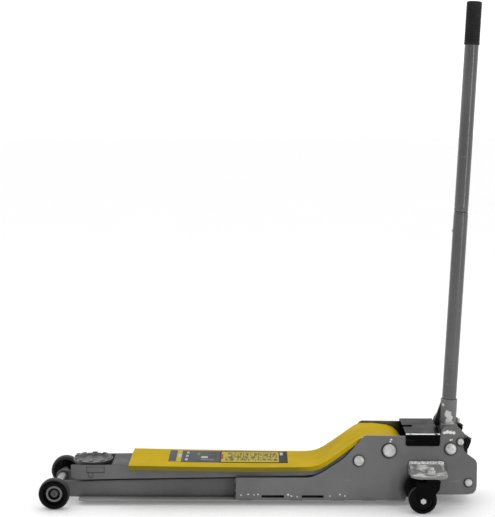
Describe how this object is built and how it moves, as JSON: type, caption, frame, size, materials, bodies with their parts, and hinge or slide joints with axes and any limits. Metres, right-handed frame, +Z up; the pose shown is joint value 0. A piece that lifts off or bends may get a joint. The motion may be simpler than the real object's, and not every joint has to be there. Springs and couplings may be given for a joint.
{
  "type": "car jack",
  "caption": "Low-profile long-chassis hydraulic trolley jack with a lift arm, levelling saddle, pump handle, front wheels and rear casters.",
  "frame": {"origin": "on the floor, under the middle of the jack's overall length and width", "axes": "+Z up, +X towards the pump handle, -X towards the saddle, left side is -Y for a person at the handle"},
  "size_m": [1.1076, 0.338, 1.2663],
  "materials": {
    "grey_paint": "semi-gloss",
    "yellow_paint": "gloss",
    "black_paint": "gloss",
    "rubber": "matt",
    "tyre": "satin",
    "zinc": "zinc plated",
    "steel": "oiled",
    "cast_iron": "rough"
  },
  "bodies": {
    "frame": {"left_side_plate": "grey_paint", "right_side_plate": "grey_paint", "left_front_rail": "grey_paint", "right_front_rail": "grey_paint", "front_cross_member": "grey_paint", "rear_cross_pan": "grey_paint", "top_cover": "black_paint", "front_axle": "steel", "left_caster_bracket": "grey_paint", "right_caster_bracket": "grey_paint", "arm_pivot_shaft": "zinc", "left_handle_pivot_bolt": "zinc", "right_handle_pivot_bolt": "zinc", "left_frame_bolt": "zinc", "right_frame_bolt": "zinc", "left_bumper_bolt": "zinc", "right_bumper_bolt": "zinc", "left_rubber_bumper": "rubber", "right_rubber_bumper": "rubber", "rear_tie_rod": "zinc", "hydraulic_block": "cast_iron", "ram_cylinder": "cast_iron", "pump_barrel": "steel"},
    "arm": {"lift_arm": "grey_paint", "arm_cover": "yellow_paint", "lever_pin": "steel", "left_saddle_pin": "steel", "right_saddle_pin": "steel"},
    "carrier": {"saddle_carrier": "grey_paint"},
    "saddle": {"saddle_pad": "cast_iron"},
    "left_link": {"left_leveling_link": "steel"},
    "right_link": {"right_leveling_link": "steel"},
    "ram": {"ram_rod": "steel", "crosshead": "cast_iron", "left_return_spring": "steel", "right_return_spring": "steel"},
    "yoke": {"handle_socket": "grey_paint", "clamp_bolt": "zinc", "roller_pin": "steel"},
    "roller": {"pump_roller": "steel"},
    "handle": {"handle_lower_tube": "grey_paint", "handle_upper_tube": "grey_paint", "handle_grip": "rubber", "release_drive_fork": "steel"},
    "button": {"spring_button": "zinc"},
    "plunger": {"pump_plunger": "steel", "pump_spring": "steel"},
    "valve": {"release_valve_stem": "steel"},
    "left_front": {"left_front_wheel": "tyre"},
    "right_front": {"right_front_wheel": "tyre"},
    "left_caster": {"left_caster_fork": "black_paint", "left_caster_axle": "zinc", "left_king_nut": "zinc"},
    "right_caster": {"right_caster_fork": "black_paint", "right_caster_axle": "zinc", "right_king_nut": "zinc"},
    "left_rear": {"left_caster_wheel": "tyre"},
    "right_rear": {"right_caster_wheel": "tyre"}
  },
  "joints": [
    {"name": "arm_lift", "type": "hinge", "parent": "frame", "child": "arm", "pos_m": [0.32765, 0, 0.1445], "axis": [0, 1, 0], "range_deg": [0, 60]},
    {"name": "saddle_level", "type": "hinge", "parent": "arm", "child": "carrier", "pos_m": [-0.42934, 0, 0.072], "axis": [0, 1, 0], "range_deg": [-60.5, 0]},
    {"name": "saddle_turn", "type": "hinge", "parent": "carrier", "child": "saddle", "pos_m": [-0.42934, 0, 0.098], "axis": [0, 0, 1], "continuous": true},
    {"name": "left_link_swing", "type": "hinge", "parent": "frame", "child": "left_link", "pos_m": [0.32765, -0.044, 0.1045], "axis": [0, 1, 0], "range_deg": [0, 60.5]},
    {"name": "right_link_swing", "type": "hinge", "parent": "frame", "child": "right_link", "pos_m": [0.32765, 0.044, 0.1045], "axis": [0, 1, 0], "range_deg": [0, 60.5]},
    {"name": "ram_extend", "type": "slide", "parent": "frame", "child": "ram", "axis": [-1, 0, 0], "range_m": [0, 0.0852], "deforming": ["left_return_spring", "right_return_spring"]},
    {"name": "handle_pump", "type": "hinge", "parent": "frame", "child": "yoke", "pos_m": [0.48216, 0, 0.1493], "axis": [0, 1, 0], "range_deg": [0, 75]},
    {"name": "handle_twist", "type": "hinge", "parent": "yoke", "child": "handle", "pos_m": [0.48216, 0, 0.1493], "axis": [0.0468, 0, 0.9989], "range_deg": [0, 90]},
    {"name": "valve_turn", "type": "hinge", "parent": "frame", "child": "valve", "pos_m": [0.48216, 0, 0.1493], "axis": [0, 0, 1], "range_deg": [0, 90.5]},
    {"name": "pump_stroke", "type": "slide", "parent": "frame", "child": "plunger", "axis": [0, 0, -1], "range_m": [0, 0.0319], "deforming": ["pump_spring"]},
    {"name": "roller_spin", "type": "hinge", "parent": "yoke", "child": "roller", "pos_m": [0.50282, 0, 0.16515], "axis": [0, 1, 0], "continuous": true},
    {"name": "button_press", "type": "slide", "parent": "handle", "child": "button", "axis": [0.9989, 0, -0.0468], "range_m": [0, 0.003], "stiffness_N_per_m": 900, "springref_m": -0.001},
    {"name": "left_front_spin", "type": "hinge", "parent": "frame", "child": "left_front", "pos_m": [-0.51484, -0.1145, 0.039], "axis": [0, 1, 0], "continuous": true},
    {"name": "right_front_spin", "type": "hinge", "parent": "frame", "child": "right_front", "pos_m": [-0.51484, 0.1145, 0.039], "axis": [0, 1, 0], "continuous": true},
    {"name": "left_caster_swivel", "type": "hinge", "parent": "frame", "child": "left_caster", "pos_m": [0.42766, -0.144, 0.092], "axis": [0, 0, 1], "continuous": true},
    {"name": "right_caster_swivel", "type": "hinge", "parent": "frame", "child": "right_caster", "pos_m": [0.42766, 0.144, 0.092], "axis": [0, 0, 1], "continuous": true},
    {"name": "left_rear_spin", "type": "hinge", "parent": "left_caster", "child": "left_rear", "pos_m": [0.40636, -0.144, 0.035], "axis": [0, 1, 0], "continuous": true},
    {"name": "right_rear_spin", "type": "hinge", "parent": "right_caster", "child": "right_rear", "pos_m": [0.40636, 0.144, 0.035], "axis": [0, 1, 0], "continuous": true}
  ],
  "couplings": [
    {"joint": "saddle_level", "follows": "arm_lift", "ratio": -1},
    {"joint": "left_link_swing", "follows": "arm_lift", "ratio": 1},
    {"joint": "right_link_swing", "follows": "arm_lift", "ratio": 1},
    {"joint": "ram_extend", "follows": "arm_lift", "m_per_rad": 0.081169},
    {"joint": "valve_turn", "follows": "handle_twist", "ratio": 1},
    {"joint": "pump_stroke", "follows": "handle_pump", "m_per_rad": 0.024217}
  ]
}
